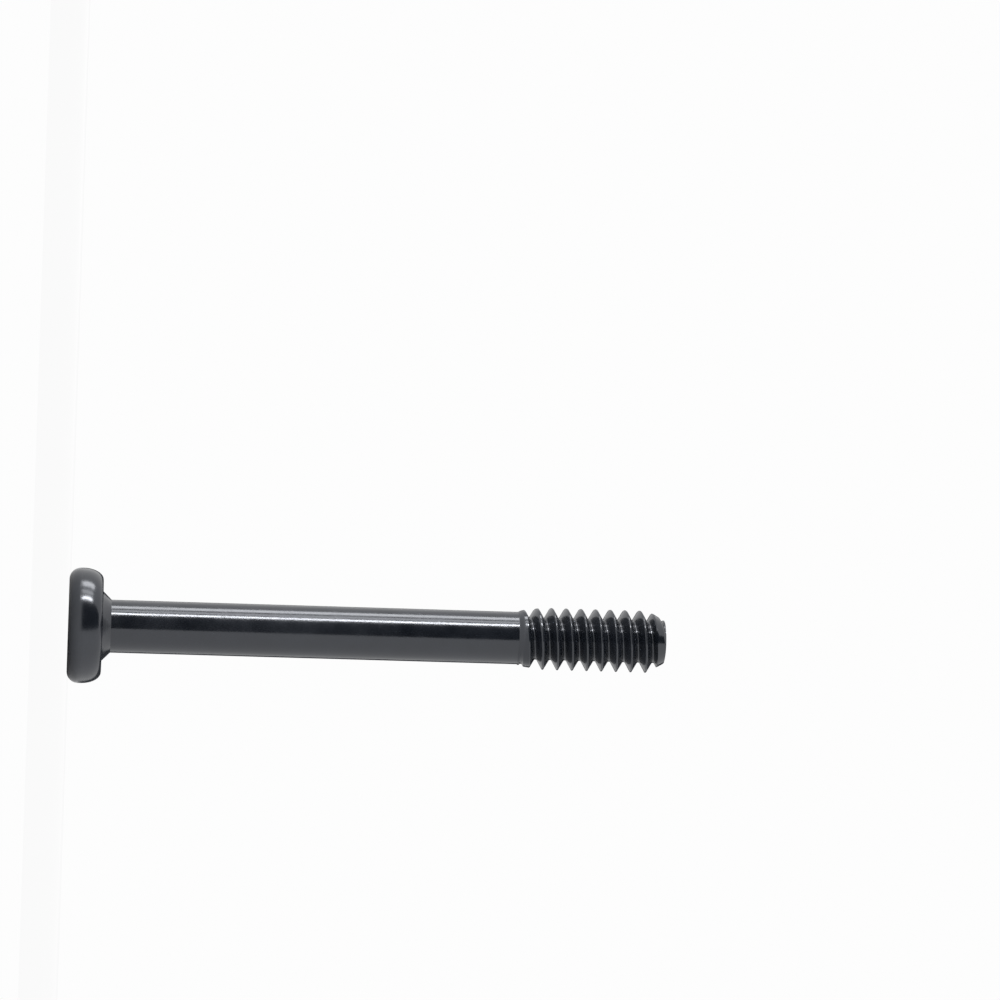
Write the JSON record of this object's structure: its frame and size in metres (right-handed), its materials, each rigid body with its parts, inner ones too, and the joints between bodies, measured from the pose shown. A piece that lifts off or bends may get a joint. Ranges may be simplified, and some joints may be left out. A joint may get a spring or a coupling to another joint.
{
  "type": "shoulder bolt",
  "caption": "Black machine screw with a flat round head, a cross recess, a long plain shank thinner than its thread, and a short coarse thread at the end.",
  "frame": {"origin": "centre of the head's flat driving face, on which the bolt stands", "axes": "+Z along the bolt's axis, from the head to the threaded point; one wing of the cross recess lies along X and the other along Y"},
  "size_m": [0.006, 0.006, 0.0318],
  "materials": {
    "black_coated_steel": "gloss"
  },
  "bodies": {
    "root": {"shoulder_bolt": "black_coated_steel"}
  },
  "joints": []
}
